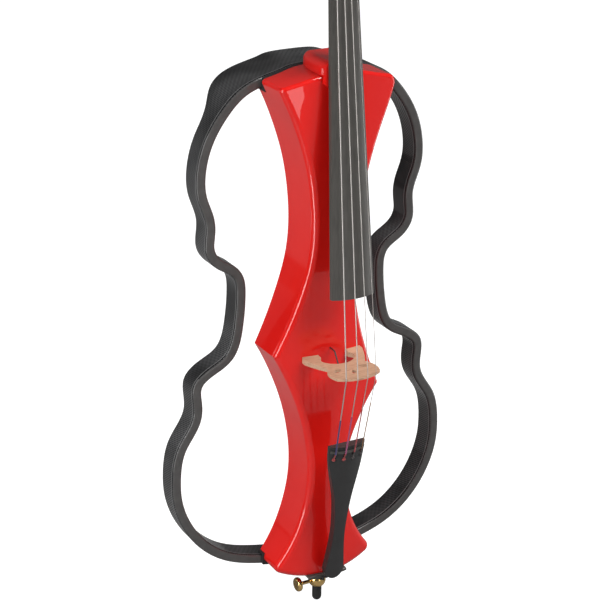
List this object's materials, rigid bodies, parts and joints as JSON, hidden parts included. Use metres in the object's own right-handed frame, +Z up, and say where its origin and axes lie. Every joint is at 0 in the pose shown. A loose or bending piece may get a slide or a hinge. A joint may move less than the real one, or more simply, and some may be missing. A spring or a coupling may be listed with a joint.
{
  "type": "electric cello",
  "caption": "Upright electric cello: slim red core, open carbon body outline, bridge, tailpiece, tuning pegs and a sliding endpin with thumb screw.",
  "frame": {"origin": "lowest point of the rubber foot, on the endpin's axis, with the endpin pushed in", "axes": "+Z up along the instrument, -Y towards the audience (the strings' side), +X to the treble side (the highest string)"},
  "size_m": [0.4386, 0.2218, 1.2904],
  "materials": {
    "red_lacquer": "deep red lacquer with a high gloss",
    "black_board": "satin black",
    "black_parts": "satin black",
    "carbon": "woven carbon under clear gloss",
    "black_rubber": "matte",
    "maple": "bare pale maple",
    "brass": "polished, lightly worn",
    "steel": "polished steel",
    "string_metal": "flat wound steel",
    "silk_c": "dark blue winding thread",
    "silk_g": "magenta winding thread",
    "silk_d": "red winding thread",
    "silk_a": "orange winding thread",
    "black_cord": "black cord",
    "circuit": "green board",
    "battery_case": "dark sleeve",
    "nickel": "nickel plated"
  },
  "bodies": {
    "instrument": {"core": "red_lacquer", "neck": "red_lacquer", "fingerboard": "black_board", "frame_bass": "carbon", "frame_treble": "carbon", "frame_screws": "steel", "gasket_upper_bass": "black_rubber", "gasket_upper_treble": "black_rubber", "gasket_lower_bass": "black_rubber", "gasket_lower_treble": "black_rubber", "string_c": "string_metal", "string_g": "string_metal", "string_d": "string_metal", "string_a": "string_metal", "silk_c": "silk_c", "silk_g": "silk_g", "silk_d": "silk_d", "silk_a": "silk_a", "bridge": "maple", "pickup": "brass", "pickup_lead": "black_cord", "tailpiece": "black_parts", "tailpiece_fret": "black_board", "tailgut": "black_cord", "end_saddle": "black_board", "nut": "black_board", "endpin_plug": "black_parts", "endpin_collar": "brass", "rear_cover": "black_parts", "cover_screws": "steel", "circuit_board": "circuit", "battery": "battery_case", "volume_pot": "nickel", "tone_pot": "nickel", "output_jack": "nickel", "headphone_jack": "nickel"},
    "endpin": {"endpin_rod": "steel", "rubber_tip": "black_rubber"},
    "thumb_screw": {"thumb_screw": "brass"},
    "volume_knob": {"volume_knob": "black_parts"},
    "tone_knob": {"tone_knob": "black_parts"},
    "battery_door": {"battery_door": "black_parts"},
    "peg_c": {"peg_c": "black_board", "winding_c": "string_metal"},
    "peg_g": {"peg_g": "black_board", "winding_g": "string_metal"},
    "peg_d": {"peg_d": "black_board", "winding_d": "string_metal"},
    "peg_a": {"peg_a": "black_board", "winding_a": "string_metal"}
  },
  "joints": [
    {"name": "peg_c_turn", "type": "hinge", "parent": "instrument", "child": "peg_c", "pos_m": [0, -0.00985, 1.13123], "axis": [1, 0, 0], "continuous": true},
    {"name": "peg_a_turn", "type": "hinge", "parent": "instrument", "child": "peg_a", "pos_m": [0, -0.00406, 1.15245], "axis": [1, 0, 0], "continuous": true},
    {"name": "peg_g_turn", "type": "hinge", "parent": "instrument", "child": "peg_g", "pos_m": [0, 0.00436, 1.18332], "axis": [1, 0, 0], "continuous": true},
    {"name": "peg_d_turn", "type": "hinge", "parent": "instrument", "child": "peg_d", "pos_m": [0, 0.01015, 1.20455], "axis": [1, 0, 0], "continuous": true},
    {"name": "endpin_slide", "type": "slide", "parent": "instrument", "child": "endpin", "axis": [0, 0, -1], "range_m": [0, 0.36]},
    {"name": "thumb_screw_turn", "type": "hinge", "parent": "instrument", "child": "thumb_screw", "pos_m": [-0.02, 0, 0.0335], "axis": [-1, 0, 0], "range_deg": [0, 720]},
    {"name": "volume_turn", "type": "hinge", "parent": "instrument", "child": "volume_knob", "pos_m": [-0.012, 0.04, 0.69], "axis": [0, 1, 0], "range_deg": [-150, 150]},
    {"name": "tone_turn", "type": "hinge", "parent": "instrument", "child": "tone_knob", "pos_m": [0.012, 0.04, 0.69], "axis": [0, 1, 0], "range_deg": [-150, 150]},
    {"name": "battery_door_hinge", "type": "hinge", "parent": "instrument", "child": "battery_door", "pos_m": [0, 0.036, 0.708], "axis": [-1, 0, 0], "range_deg": [0, 100]}
  ]
}
